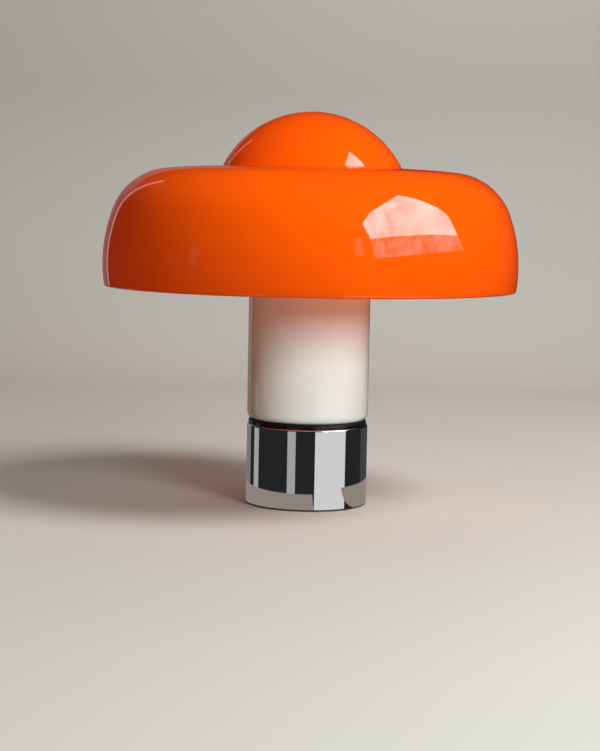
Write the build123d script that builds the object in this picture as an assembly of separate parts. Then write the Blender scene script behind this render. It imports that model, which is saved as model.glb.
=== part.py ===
from build123d import *
import os
from math import acos, asin, atan2, cos, degrees, hypot, radians, sin, sqrt

# Mushroom table lamp: an orange glass shade on an opal glass stem and a chromed base.
# Millimetres. +Z is up, the origin is the centre of the foot on the table, and the
# front is -Y, so the cable inlet at the back looks along +Y.

# ---- driving dimensions -------------------------------------------------------------

# base
base_d = 117.4             # outer diameter of the chromed cup
base_top_z = 77.7          # top of the cup above the table
cover_wall = 1.2           # sheet thickness of the cup
cover_edge_r = 1.5         # drawn radius round the top of the cup
foot_pad_t = 0.8           # felt
foot_pad_inset = 3.5       # felt edge inside the cup's outside
flange_t = 1.0             # visible edge of the bottom plate
flange_inset = 0.7         # how far that edge stands back from the chrome
spigot_h = 1.5             # step of the plate that centres the cup
spigot_gap = 0.15          # radial clearance of that step
ballast_h = 30.0
ballast_gap = 0.6          # radial clearance to the cup
ballast_chamfer = 2.0
nut_well_d = 30.0          # pocket under the ballast for the lower nut
nut_well_h = 12.0
lead_channel_w = 10.0      # groove under the ballast, from the inlet to the nut pocket
lead_channel_h = 13.0
plate_screw_count = 3
plate_screw_circle_d = 80.0
plate_screw_d = 4.0
plate_screw_head_d = 7.6
plate_screw_head_h = 1.8
plate_screw_l = 12.0
earth_screw_d = 4.0
earth_screw_l = 10.0
earth_head_h = 2.6
earth_washer_d = 9.0
earth_washer_t = 0.8
earth_x = 26.0
earth_y = 18.0

# threaded tube that ties the ballast to the lampholder
tube_d = 10.0
tube_bore_d = 7.6
tube_grip = 9.0            # length screwed into the lampholder's cap
tube_tail = 1.5            # length showing below the lower nut
nut_af = 14.0              # across flats
nut_h = 4.0
washer_d = 20.0
washer_t = 1.2

# cable inlet
inlet_z = 12.0
inlet_bore_d = 6.5
inlet_thread_d = 10.0
inlet_flange_d = 15.0
inlet_flange_t = 2.6
inlet_hole_gap = 0.1       # radial clearance in the cup
inlet_nut_af = 14.0
inlet_nut_h = 3.0
inlet_tail = 1.5           # thread showing behind its nut

# black ring between the base and the glass
collar_h = 3.2
collar_inset = 1.3
collar_chamfer = 0.5
gasket_h = 1.5
gasket_inset = 1.8
gasket_chamfer = 0.4
collar_bore_gap = 0.5      # round the lampholder's flange

# lampholder, E27
sleeve_d = 40.0            # over its outer thread
sleeve_flange_w = 3.5      # how far the flange stands out past the thread
sleeve_flange_h = 2.5
sleeve_above = 41.0        # sleeve above the top of the base
sleeve_below = 12.0        # and below it
sleeve_neck_step = 0.4     # the neck below the flange is this much inside the thread
sleeve_neck_gap = 0.4      # radial clearance of the neck in the cup's hole
sleeve_neck_wall = 1.9
sleeve_lip_h = 3.0
sleeve_bevel = 1.0
sleeve_lip_gap = 1.5       # mouth round the lamp's cap
sleeve_front_gap = 1.6     # bore round the screw shell
core_h = 18.0
cap_wall = 2.2
cap_h = 18.0
cap_collar_d = 16.0
cap_collar_h = 8.0
cap_shoulder_h = 4.0
cap_spigot_h = 5.0
shell_gap = 0.3            # screw shell, clear over the lamp cap's crests
shell_wall = 0.4
shell_h = 26.0
shell_hole_d = 15.0
contact_w = 5.0
contact_t = 0.5
contact_rise = 2.6
terminal_d = 3.0
terminal_head_d = 5.6
terminal_head_h = 2.4
terminal_l = 8.0
terminal_offset = 10.0

# stem
stem_d = 117.6
stem_wall = 3.5
stem_floor_t = 4.0
stem_hole_gap = 1.2        # hole in the floor, round the lampholder's thread
stem_foot_r = 7.0          # rounded bottom edge
stem_rim_bevel = 1.0       # ground bevels of the top edge
clamp_gasket_t = 1.0
clamp_gasket_w = 6.8
ring_w = 9.0               # clamp ring of the lampholder: width of its flange
ring_flange_h = 2.5
ring_collar_w = 4.5
ring_collar_h = 7.5
ring_bevel = 0.8
ring_notches = 12
ring_notch_r = 2.0

# shade: a chain of tangent arcs, from the rim up over the shoulder to the dome
shade_d = 400.0            # widest diameter
shade_wide_z = 231.7       # height of the widest place above the table
shade_rim_z = 209.5        # lowest point of the rim
shade_wall = 4.0
side_r = 147.0             # upright side
side_to_shoulder = 20.8    # degrees above level where the side meets the shoulder
shoulder_r = 60.1
shoulder_to_crown = 84.0   # degrees where the shoulder meets the crown
crown_r = 437.0
dome_r = 96.5
dome_top_z = 378.8
crease_r = 2.0             # hollow fillet between crown and dome

# carrier on top of the stem
seat_gap = 0.3             # clearance of the glass over the pads
pad_t = 3.0
pad_w = 18.0
pad_past_crease = 11.0     # the pads reach this far outside the crease
pad_finger_gap = 1.0       # upstand to the inside of the dome
pad_finger_t = 4.0
pad_finger_h = 6.0
pad_stud_d = 4.0
pad_stud_head_d = 6.5
pad_stud_head_h = 1.2
arm_count = 3
arm_w = 16.0
arm_t = 1.5
arm_past_pad = 1.5
arm_lip_h = 5.0            # turned-down edges that stiffen the arm
hub_gap = 2.3              # radial gap between the hub's skirt and the glass
hub_skirt_h = 26.0
hub_bevel = 1.0
rim_gasket_t = 1.5
rim_gasket_lip = 1.2
rim_gasket_out_h = 5.0
rim_gasket_in_h = 2.5
rim_gasket_in_gap = 0.5    # inner lip to the hub's skirt
clip_w = 10.0
clip_t = 0.5
clip_l = 13.0
clip_drop = 9.0            # from the underside of the hub's flange to the clip
rivet_d = 2.4
rivet_head_d = 4.0
rivet_head_h = 0.7

# lamp: an E27 bulb with a plastic body and an opal dome
bulb_d = 60.0
bulb_l = 108.0
bulb_cap_d = 26.4
bulb_cap_h = 22.5
bulb_insulator_h = 2.7
bulb_contact_d = 9.6
bulb_contact_h = 1.0
bulb_contact_gap = 0.3
bulb_neck_step = 0.5       # the body's neck stands out past the cap
bulb_body_h = 40.0
bulb_wall = 1.5
board_t = 1.6
chip_count = 12
chip_circle_d = 34.0
chip_size = 2.8
chip_t = 0.7

# ---- heights and radii that follow ---------------------------------------------------

base_r = base_d / 2
cover_in_r = base_r - cover_wall
cover_foot_z = foot_pad_t + flange_t
plate_top_z = cover_foot_z + spigot_h
ballast_r = cover_in_r - ballast_gap
ballast_top_z = plate_top_z + ballast_h
well_top_z = plate_top_z + nut_well_h

collar_top_z = base_top_z + collar_h
stem_z = collar_top_z + gasket_h
stem_r = stem_d / 2
stem_in_r = stem_r - stem_wall
floor_top_z = stem_z + stem_floor_t
ring_z = floor_top_z + clamp_gasket_t

sleeve_top_z = base_top_z + sleeve_above
sleeve_foot_z = base_top_z - sleeve_below
core_z = sleeve_foot_z + cap_spigot_h
core_top_z = core_z + core_h
cap_z = sleeve_foot_z - cap_h
sleeve_r = sleeve_d / 2
sleeve_flange_r = sleeve_r + sleeve_flange_w
sleeve_neck_r = sleeve_r - sleeve_neck_step
cover_hole_r = sleeve_neck_r + sleeve_neck_gap
collar_in_r = sleeve_flange_r + collar_bore_gap
core_r = sleeve_neck_r - sleeve_neck_wall
bulb_cap_r = bulb_cap_d / 2
bulb_neck_r = bulb_cap_r + bulb_neck_step
shell_in_r = bulb_cap_r + shell_gap
shell_r = shell_in_r + shell_wall
stem_hole_r = sleeve_r + stem_hole_gap
ring_r = sleeve_r + ring_w
tube_top_z = cap_z + tube_grip
tube_foot_z = well_top_z - washer_t - nut_h - tube_tail

bulb_z = core_top_z + contact_rise + contact_t + bulb_contact_gap
bulb_insulator_z = bulb_z + bulb_contact_h
bulb_cap_z = bulb_insulator_z + bulb_insulator_h
bulb_body_z = bulb_cap_z + bulb_cap_h
bulb_joint_z = bulb_body_z + bulb_body_h
bulb_top_z = bulb_z + bulb_l
bulb_ball_c = (0.0, bulb_top_z - bulb_d / 2)
bulb_joint_angle = -degrees(asin((bulb_ball_c[1] - bulb_joint_z) / (bulb_d / 2)))
bulb_joint_r = bulb_d / 2 * cos(radians(bulb_joint_angle))

# centres of the shade's arcs, as (radius from the axis, height)
side_c = (shade_d / 2 - side_r, shade_wide_z)


def along(centre, length, angle):
    """Point at a distance and an angle in degrees from a centre in the (r, z) plane."""
    return (centre[0] + length * cos(radians(angle)), centre[1] + length * sin(radians(angle)))


shoulder_c = along(side_c, side_r - shoulder_r, side_to_shoulder)
crown_c = along(shoulder_c, shoulder_r - crown_r, shoulder_to_crown)
dome_c = (0.0, dome_top_z - dome_r)


def crease_centre():
    """Centre of the hollow fillet that touches both the crown and the dome from outside."""
    to_dome = dome_r + crease_r
    to_crown = crown_r + crease_r
    apart = hypot(dome_c[0] - crown_c[0], dome_c[1] - crown_c[1])
    aim = degrees(atan2(dome_c[1] - crown_c[1], dome_c[0] - crown_c[0]))
    spread = acos((to_crown**2 + apart**2 - to_dome**2) / (2 * to_crown * apart))
    return along(crown_c, to_crown, aim - degrees(spread))


crease_c = crease_centre()
crown_to_crease = degrees(atan2(crease_c[1] - crown_c[1], crease_c[0] - crown_c[0]))
dome_to_crease = degrees(atan2(crease_c[1] - dome_c[1], crease_c[0] - dome_c[0]))
rim_angle = -degrees(asin((shade_wide_z - shade_rim_z - shade_wall / 2) / (side_r - shade_wall / 2)))


def crown_underside(r):
    """Height of the shade's inner surface under the crown, at a distance from the axis."""
    return crown_c[1] + sqrt((crown_r - shade_wall) ** 2 - (r - crown_c[0]) ** 2)


def dome_inside(z):
    """Radius of the dome's inner surface at a height."""
    return sqrt((dome_r - shade_wall) ** 2 - (z - dome_c[1]) ** 2)


# the carrier hangs from the underside of the crown, and the stem reaches up to it
pad_outer_r = crease_c[0] + pad_past_crease
pad_top_z = crown_underside(pad_outer_r) - seat_gap
arm_top_z = pad_top_z - pad_t
hub_z = arm_top_z - arm_t
stem_top_z = hub_z - rim_gasket_t
pad_finger_r = sqrt((dome_inside(pad_top_z + pad_finger_h) - pad_finger_gap) ** 2 - (pad_w / 2) ** 2)
pad_mid_r = (pad_finger_r + pad_outer_r) / 2
hub_skirt_r = stem_in_r - hub_gap
hub_in_r = hub_skirt_r - arm_t
hub_r = stem_r + rim_gasket_lip
clip_top_z = hub_z - clip_drop
rivet_z = clip_top_z - clip_l / 4

# ---- shared ways of making a piece -----------------------------------------------------


def turned(*corners):
    """Solid of revolution from corners (r, z) or (r, z, fillet radius) of its half section."""
    points = [corner[:2] for corner in corners]
    rounds = [corner[2] if len(corner) == 3 else 0 for corner in corners]
    outline = FilletPolyline(*points, radius=rounds, close=True)
    return revolve(Plane.XZ * make_face(outline), Axis.Z)


def rod(radius, z_low, z_high, x=0.0, y=0.0):
    """Upright round bar between two heights."""
    return Pos(x, y, z_low) * extrude(Circle(radius), z_high - z_low)


def hex_nut(across_flats, height, bore_r):
    """Hexagon nut standing on the XY plane."""
    return extrude(RegularPolygon(across_flats / sqrt(3), 6), height) - rod(bore_r, 0, height)


def around(piece, count, start=0.0):
    """Copies of a piece spaced evenly about the lamp's axis."""
    return [Rot(0, 0, start + 360 * i / count) * piece for i in range(count)]


# ---- base ------------------------------------------------------------------------------


def make_foot_pad():
    return turned((0, 0), (base_r - foot_pad_inset, 0), (base_r - foot_pad_inset, foot_pad_t),
                  (0, foot_pad_t))


plate_screw_spots = [along((0, 0), plate_screw_circle_d / 2, 30 + 360 * i / plate_screw_count)
                     for i in range(plate_screw_count)]


def countersunk_screw(grow=0.0):
    """Screw with its flat head level with the XY plane, head down; grow makes its hole."""
    head_r = plate_screw_head_d / 2
    shank_r = plate_screw_d / 2
    return turned((0, 0), (head_r + grow, 0), (shank_r + grow, plate_screw_head_h),
                  (shank_r + grow, plate_screw_l), (0, plate_screw_l))


def make_plate_screws():
    screw = countersunk_screw()
    slot = Pos(0, 0, 0.4) * Box(plate_screw_head_d * 0.8, 0.9, 0.8)
    slotted = screw - slot
    return [Pos(x, y, foot_pad_t) * slotted for x, y in plate_screw_spots]


def make_bottom_plate():
    edge_r = base_r - flange_inset
    spigot_r = cover_in_r - spigot_gap
    plate = turned((0, foot_pad_t), (edge_r, foot_pad_t), (edge_r, cover_foot_z),
                   (spigot_r, cover_foot_z), (spigot_r, plate_top_z), (0, plate_top_z))
    for x, y in plate_screw_spots:
        plate -= Pos(x, y, foot_pad_t) * countersunk_screw()
    return plate


def make_ballast():
    body = turned((0, plate_top_z), (ballast_r, plate_top_z),
                  (ballast_r, ballast_top_z - ballast_chamfer),
                  (ballast_r - ballast_chamfer, ballast_top_z), (0, ballast_top_z))
    body -= rod(nut_well_d / 2, plate_top_z, well_top_z)
    body -= rod(tube_d / 2, plate_top_z, ballast_top_z)
    groove = Box(lead_channel_w, ballast_r, lead_channel_h,
                 align=(Align.CENTER, Align.MIN, Align.MIN))
    body -= Pos(0, 0, plate_top_z) * groove
    # pocket that clears the nut and the tail of the cable inlet
    pocket_r = inlet_nut_af / sqrt(3) + 1.0
    pocket_l = inlet_nut_h + inlet_tail + 3.0
    pocket_h = inlet_z + pocket_r - plate_top_z
    pocket = Box(2 * pocket_r, pocket_l, pocket_h, align=(Align.CENTER, Align.MAX, Align.MIN))
    body -= Pos(0, cover_in_r, plate_top_z) * pocket
    for x, y in plate_screw_spots:
        body -= Pos(x, y, foot_pad_t) * countersunk_screw()
    body -= rod(earth_screw_d / 2, ballast_top_z - earth_screw_l, ballast_top_z, earth_x, earth_y)
    return body


def make_earth_washer():
    ring = turned((earth_screw_d / 2, 0), (earth_washer_d / 2, 0),
                  (earth_washer_d / 2, earth_washer_t), (earth_screw_d / 2, earth_washer_t))
    return Pos(earth_x, earth_y, ballast_top_z) * ring


def make_earth_screw():
    head_r = earth_screw_d
    seat_z = ballast_top_z + earth_washer_t
    head = turned((0, seat_z), (head_r, seat_z), (head_r, seat_z + 0.7 * earth_head_h),
                  (head_r - 0.3 * earth_head_h, seat_z + earth_head_h), (0, seat_z + earth_head_h))
    slot = Pos(0, 0, seat_z + earth_head_h) * Box(2.5 * head_r, 1.0, earth_head_h)
    shank = rod(earth_screw_d / 2, ballast_top_z - earth_screw_l, seat_z)
    return Pos(earth_x, earth_y, 0) * (head + shank - slot)


def make_threaded_tube():
    tube = rod(tube_d / 2, tube_foot_z, tube_top_z) - rod(tube_bore_d / 2, tube_foot_z, tube_top_z)
    ends = tube.edges().filter_by(GeomType.CIRCLE).filter_by(lambda e: e.radius > tube_d / 2 - 0.1)
    return chamfer(ends, 0.5)


def make_tube_washers():
    ring = rod(washer_d / 2, 0, washer_t) - rod(tube_d / 2, 0, washer_t)
    return [Pos(0, 0, well_top_z - washer_t) * ring, Pos(0, 0, ballast_top_z) * ring]


def make_tube_nuts():
    nut = hex_nut(nut_af, nut_h, tube_d / 2)
    return [Pos(0, 0, well_top_z - washer_t - nut_h) * nut,
            Pos(0, 0, ballast_top_z + washer_t) * nut]


def make_base_cover():
    under_z = base_top_z - cover_wall
    cup = turned((base_r, cover_foot_z), (base_r, base_top_z, cover_edge_r),
                 (cover_hole_r, base_top_z), (cover_hole_r, under_z), (cover_in_r, under_z),
                 (cover_in_r, cover_foot_z))
    return cup - inlet_bar(inlet_thread_d / 2 + inlet_hole_gap, cover_in_r - 2, base_r + 2)


# ---- cable inlet -----------------------------------------------------------------------


def inlet_bar(radius, y_near, y_far):
    """Round bar on the inlet's axis, between two distances behind the lamp's axis."""
    return Pos(0, y_near, inlet_z) * Rot(-90, 0, 0) * extrude(Circle(radius), y_far - y_near)


inlet_inner_y = cover_in_r - inlet_nut_h - inlet_tail


def make_inlet_bushing():
    face_y = base_r + inlet_flange_t
    flange = inlet_bar(inlet_flange_d / 2, base_r - 2, face_y)
    rim = flange.edges().filter_by(GeomType.CIRCLE).sort_by(Axis.Y)[-1]
    flange = chamfer(rim, inlet_flange_t * 0.4) - rod(base_r, 0, base_top_z)
    body = flange + inlet_bar(inlet_thread_d / 2, inlet_inner_y, base_r + inlet_flange_t / 2)
    return body - inlet_bar(inlet_bore_d / 2, inlet_inner_y - 1, face_y + 1)


def make_inlet_nut():
    nut_y = cover_in_r - inlet_nut_h
    nut = hex_nut(inlet_nut_af, inlet_nut_h + 1, inlet_thread_d / 2)
    placed = Pos(0, nut_y, inlet_z) * Rot(-90, 0, 0) * nut
    return placed & rod(cover_in_r, 0, base_top_z)


# ---- black ring ------------------------------------------------------------------------


def make_seat_collar():
    outer_r = base_r - collar_inset
    c = collar_chamfer
    return turned((collar_in_r, base_top_z), (outer_r, base_top_z),
                  (outer_r, collar_top_z - c), (outer_r - c, collar_top_z),
                  (collar_in_r, collar_top_z))


def make_seat_gasket():
    outer_r = base_r - gasket_inset
    c = gasket_chamfer
    return turned((collar_in_r, collar_top_z), (outer_r, collar_top_z), (outer_r, stem_z - c),
                  (outer_r - c, stem_z), (collar_in_r, stem_z))


# ---- lampholder ------------------------------------------------------------------------


def make_holder_cap():
    """Moulded cap: a collar on the tube, a shoulder, and a spigot up into the sleeve."""
    collar_r = cap_collar_d / 2
    inner_r = core_r - cap_wall
    shoulder_z = cap_z + cap_collar_h
    return turned((tube_d / 2, cap_z), (collar_r, cap_z), (collar_r, shoulder_z),
                  (sleeve_neck_r, shoulder_z + cap_shoulder_h), (sleeve_neck_r, sleeve_foot_z),
                  (core_r, sleeve_foot_z), (core_r, core_z), (inner_r, core_z),
                  (inner_r, shoulder_z + cap_shoulder_h + 1), (collar_r, tube_top_z),
                  (tube_d / 2, tube_top_z))


def make_holder_core():
    core = rod(core_r, core_z, core_top_z)
    # the core is relieved underneath where the leads come up to the terminals
    relief = Pos(0, 0, core_z) * Box(2 * terminal_offset - terminal_head_d - 1, 2 * core_r - 8, 8,
                                     align=(Align.CENTER, Align.CENTER, Align.MIN))
    core -= relief
    for side in (-1, 1):
        core -= rod(terminal_d / 2, core_z, core_z + terminal_l, side * terminal_offset)
    return core


def make_terminal_screws():
    head = rod(terminal_head_d / 2, 0, terminal_head_h)
    head -= Box(2 * terminal_head_d, 0.8, 1.6)
    shank = rod(terminal_d / 2, terminal_head_h, terminal_head_h + terminal_l)
    screw = head + shank
    return [Pos(side * terminal_offset, 0, core_z - terminal_head_h) * screw for side in (-1, 1)]


def make_holder_sleeve():
    """Sleeve with an outer thread for the clamp ring, and a flange that rests on the base."""
    lip_z = sleeve_top_z - sleeve_lip_h
    lip_r = bulb_cap_r + sleeve_lip_gap
    flange_top_z = base_top_z + sleeve_flange_h
    front_r = shell_r + sleeve_front_gap
    c = sleeve_bevel
    return turned((core_r, sleeve_foot_z), (sleeve_neck_r, sleeve_foot_z), (sleeve_neck_r, base_top_z),
                  (sleeve_flange_r, base_top_z), (sleeve_flange_r, flange_top_z),
                  (sleeve_r, flange_top_z), (sleeve_r, sleeve_top_z - c), (sleeve_r - c, sleeve_top_z),
                  (lip_r + c, sleeve_top_z), (lip_r, sleeve_top_z - c), (lip_r, lip_z),
                  (front_r, lip_z), (front_r, core_top_z), (core_r, core_top_z))


def make_screw_shell():
    top_z = core_top_z + shell_h
    return turned((shell_hole_d / 2, core_top_z), (shell_r, core_top_z),
                  (shell_r, top_z), (shell_in_r, top_z), (shell_in_r, core_top_z + shell_wall),
                  (shell_hole_d / 2, core_top_z + shell_wall))


def make_centre_contact():
    """Sprung tongue: a foot on the core, a rise, and a level end under the lamp's contact."""
    low = core_top_z
    high = low + contact_rise
    reach = shell_hole_d / 2 - 1.0
    t = contact_t
    outline = Polyline((reach, low), (reach, low + t), (reach - 3, low + t), (2, high + t),
                       (-3, high + t), (-3, high), (1.8, high), (reach - 3.2, low), close=True)
    strip = extrude(Plane.XZ * make_face(outline), contact_w / 2, both=True)
    return strip


# ---- stem ------------------------------------------------------------------------------


def make_stem_glass():
    """Opal tube, closed by a floor with a hole that drops over the lampholder."""
    c = stem_rim_bevel
    foot_c = stem_foot_r - stem_wall
    return turned((stem_hole_r, stem_z), (stem_r, stem_z, stem_foot_r), (stem_r, stem_top_z - c),
                  (stem_r - c, stem_top_z), (stem_in_r + c, stem_top_z), (stem_in_r, stem_top_z - c),
                  (stem_in_r, floor_top_z + foot_c), (stem_in_r - foot_c, floor_top_z),
                  (stem_hole_r, floor_top_z))


def make_clamp_gasket():
    return turned((stem_hole_r, floor_top_z), (stem_hole_r + clamp_gasket_w, floor_top_z),
                  (stem_hole_r + clamp_gasket_w, ring_z), (stem_hole_r, ring_z))


def make_clamp_ring():
    """Ring that screws down the sleeve, with notches round its flange for the fingers."""
    flange_top_z = ring_z + ring_flange_h
    top_z = flange_top_z + ring_collar_h
    collar_r = sleeve_r + ring_collar_w
    ring = turned((sleeve_r, ring_z), (ring_r, ring_z), (ring_r, flange_top_z), (collar_r, flange_top_z),
                  (collar_r, top_z - ring_bevel), (collar_r - ring_bevel, top_z), (sleeve_r, top_z))
    notch = rod(ring_notch_r, ring_z, flange_top_z, ring_r + 0.4 * ring_notch_r)
    return ring - around(notch, ring_notches)


# ---- shade carrier ---------------------------------------------------------------------


def make_rim_gasket():
    """Silicone edging over the stem's rim: a deep lip outside and a short one inside."""
    in_r = hub_skirt_r + rim_gasket_in_gap
    out_foot_z = stem_top_z - rim_gasket_out_h
    in_foot_z = stem_top_z - rim_gasket_in_h
    c = stem_rim_bevel
    return turned((in_r, hub_z), (hub_r, hub_z), (hub_r, out_foot_z), (stem_r, out_foot_z),
                  (stem_r, stem_top_z - c), (stem_r - c, stem_top_z), (stem_in_r + c, stem_top_z),
                  (stem_in_r, stem_top_z - c), (stem_in_r, in_foot_z), (in_r, in_foot_z))


def make_arm():
    """One arm of the carrier along +X: a strip with its two long edges turned down."""
    tip_r = pad_outer_r + arm_past_pad
    root_r = hub_in_r + 2.0
    strip = Pos(root_r, 0, hub_z) * Box(tip_r - root_r, arm_w, arm_t,
                                        align=(Align.MIN, Align.CENTER, Align.MIN))
    tip_edges = strip.edges().filter_by(Axis.Z).sort_by(Axis.X)[-2:]
    strip = fillet(tip_edges, 4.0)
    lip_low_z = hub_z - arm_lip_h
    lip_root_r = hub_r + 1.0
    lip_tip_r = pad_mid_r - pad_stud_head_d
    lip_outline = Polyline((lip_root_r, hub_z), (lip_root_r + 2, lip_low_z),
                           (lip_tip_r - 6, lip_low_z), (lip_tip_r, hub_z), close=True)
    lip = extrude(Plane.XZ * make_face(lip_outline), arm_t / 2, both=True)
    side = (arm_w - arm_t) / 2
    arm = strip + Pos(0, side, 0) * lip + Pos(0, -side, 0) * lip
    return arm - rod(pad_stud_d / 2, hub_z, arm_top_z, pad_mid_r)


def make_shade_carrier():
    skirt_foot_z = arm_top_z - hub_skirt_h
    c = hub_bevel
    hub = turned((hub_in_r, arm_top_z - c), (hub_in_r + c, arm_top_z), (hub_r, arm_top_z),
                 (hub_r, hub_z), (hub_skirt_r, hub_z), (hub_skirt_r, skirt_foot_z),
                 (hub_in_r, skirt_foot_z))
    carrier = hub
    for arm in around(make_arm(), arm_count, 90):
        carrier += arm
    return carrier - around(rivet_bar(rivet_d / 2, hub_in_r - 2, hub_skirt_r + 2), arm_count, 30)


def make_carrier_pads():
    """Silicone pad along +X, with an upstand inside the dome and a stud through the arm."""
    base_l = pad_outer_r - pad_finger_r + pad_finger_t
    slab = Pos(pad_outer_r, 0, arm_top_z) * Box(base_l, pad_w, pad_t,
                                                align=(Align.MAX, Align.CENTER, Align.MIN))
    finger = Pos(pad_finger_r, 0, pad_top_z) * Box(pad_finger_t, pad_w, pad_finger_h,
                                                   align=(Align.MAX, Align.CENTER, Align.MIN))
    pad = slab + finger
    stud = rod(pad_stud_d / 2, hub_z, arm_top_z, pad_mid_r)
    head = turned((0, hub_z), (pad_stud_head_d / 2, hub_z), (pad_stud_d / 2, hub_z - pad_stud_head_h),
                  (0, hub_z - pad_stud_head_h))
    pad = pad + stud + Pos(pad_mid_r, 0, 0) * head
    return around(pad, arm_count, 90)


def rivet_bar(radius, r_near, r_far):
    """Round bar at the rivet's height, along +X between two distances from the axis."""
    return Pos(r_near, 0, rivet_z) * Rot(0, 90, 0) * extrude(Circle(radius), r_far - r_near)


# the clip's flat strip touches the round glass with its two long edges
clip_bow_r = sqrt(stem_in_r**2 - (clip_w / 2) ** 2)


def make_carrier_clips():
    r = hub_skirt_r
    t = clip_t
    foot_z = clip_top_z - clip_l
    bow_z = clip_top_z - 0.68 * clip_l
    knee_z = clip_top_z - 0.45 * clip_l
    outline = Polyline((r, clip_top_z), (r + t, clip_top_z), (r + t, knee_z), (clip_bow_r, bow_z),
                       (r + t + 0.4, foot_z), (r + 0.4, foot_z), (clip_bow_r - t, bow_z),
                       (r, knee_z), close=True)
    clip = extrude(Plane.XZ * make_face(outline), clip_w / 2, both=True)
    clip -= rivet_bar(rivet_d / 2, hub_in_r, stem_in_r)
    return around(clip, arm_count, 30)


def make_clip_rivets():
    """Shank through the skirt and the clip, with a flat head on each side."""
    outer = hub_skirt_r + clip_t
    inner = sqrt(hub_in_r**2 - (rivet_head_d / 2) ** 2)
    shank = rivet_bar(rivet_d / 2, inner, outer)
    outer_head = rivet_bar(rivet_head_d / 2, outer, outer + rivet_head_h)
    inner_head = rivet_bar(rivet_head_d / 2, inner - rivet_head_h, inner)
    return around(shank + inner_head + outer_head, arm_count, 30)


# ---- shade -----------------------------------------------------------------------------


def arc(centre, radius, start, end):
    """Arc of a half section, given by its centre, radius and two angles in degrees."""
    middle = (start + end) / 2
    return ThreePointArc(along(centre, radius, start), along(centre, radius, middle),
                         along(centre, radius, end))


def shade_line(inset):
    """The shade's section from the rim to the top of the dome, offset inwards by inset."""
    return [
        arc(side_c, side_r - inset, rim_angle, side_to_shoulder),
        arc(shoulder_c, shoulder_r - inset, side_to_shoulder, shoulder_to_crown),
        arc(crown_c, crown_r - inset, shoulder_to_crown, crown_to_crease),
        arc(crease_c, crease_r + inset, crown_to_crease - 180, dome_to_crease - 180),
        arc(dome_c, dome_r - inset, dome_to_crease, 90),
    ]


def make_shade_glass():
    outside = shade_line(0)
    inside = shade_line(shade_wall)
    mid_r = side_r - shade_wall / 2
    rim_tip = along(along(side_c, mid_r, rim_angle), shade_wall / 2, rim_angle - 90)
    rim = ThreePointArc(outside[0] @ 0, rim_tip, inside[0] @ 0)
    pole = Line(outside[-1] @ 1, inside[-1] @ 1)
    section = make_face(outside + [pole] + inside + [rim])
    return revolve(Plane.XZ * section, Axis.Z)


# ---- lamp ------------------------------------------------------------------------------


def make_bulb_contact():
    r = bulb_contact_d / 2
    return turned((0, bulb_z), (0.6 * r, bulb_z), (r, bulb_z + 0.6 * bulb_contact_h),
                  (r, bulb_insulator_z), (0, bulb_insulator_z))


def make_bulb_insulator():
    return turned((0, bulb_insulator_z), (bulb_contact_d / 2 + 0.6, bulb_insulator_z),
                  (bulb_cap_r - 1.2, bulb_cap_z), (0, bulb_cap_z))


def make_bulb_cap():
    """Thin metal shell, closed below on the insulator."""
    r = bulb_cap_r
    wall = shell_wall
    return turned((0, bulb_cap_z), (r - 1, bulb_cap_z), (r, bulb_cap_z + 1), (r, bulb_body_z),
                  (r - wall, bulb_body_z),
                  (r - wall, bulb_cap_z + wall), (0, bulb_cap_z + wall))


def bulb_body_line(inset):
    """Curve of the body's flank from the neck to the dome joint."""
    neck = (bulb_neck_r - inset, bulb_body_z)
    waist = (bulb_neck_r + 2.0 - inset, bulb_body_z + 0.3 * bulb_body_h)
    hip = (bulb_joint_r - 1.6 - inset, bulb_body_z + 0.85 * bulb_body_h)
    top = (bulb_joint_r - inset, bulb_joint_z)
    return Spline(neck, waist, hip, top)


def make_bulb_body():
    outside = bulb_body_line(0)
    inside = bulb_body_line(bulb_wall)
    foot = Line(outside @ 0, inside @ 0)
    top = Line(outside @ 1, inside @ 1)
    shell = revolve(Plane.XZ * make_face([outside, top, inside, foot]), Axis.Z)
    # the neck plugs into the cap, and a floor closes it
    spigot = rod(bulb_cap_r - shell_wall, bulb_body_z - 6, bulb_body_z)
    floor = rod(bulb_neck_r - bulb_wall / 2, bulb_body_z, bulb_body_z + bulb_wall)
    return shell + spigot + floor


def make_bulb_diffuser():
    """Opal dome: most of a ball, cut off level where it meets the body."""
    wall_angle = -degrees(asin((bulb_ball_c[1] - bulb_joint_z) / (bulb_d / 2 - bulb_wall)))
    outside = arc(bulb_ball_c, bulb_d / 2, bulb_joint_angle, 90)
    inside = arc(bulb_ball_c, bulb_d / 2 - bulb_wall, wall_angle, 90)
    foot = Line(outside @ 0, inside @ 0)
    pole = Line(outside @ 1, inside @ 1)
    return revolve(Plane.XZ * make_face([outside, pole, inside, foot]), Axis.Z)


def make_led_board():
    """Aluminium disc that closes the body, with a ring of chips under the opal dome."""
    flank = bulb_body_line(bulb_wall)
    bore = revolve(Plane.XZ * make_face([flank, Polyline(flank @ 1, (0, bulb_joint_z),
                                                         (0, bulb_body_z), flank @ 0)]), Axis.Z)
    board = bore & rod(bulb_joint_r, bulb_joint_z - board_t, bulb_joint_z)
    chip = Pos(chip_circle_d / 2, 0, bulb_joint_z) * Box(chip_size, chip_size, chip_t,
                                                         align=(Align.CENTER, Align.CENTER, Align.MIN))
    for copy in around(chip, chip_count):
        board += copy
    return board


# ---- write one file per piece ------------------------------------------------------------

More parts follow.
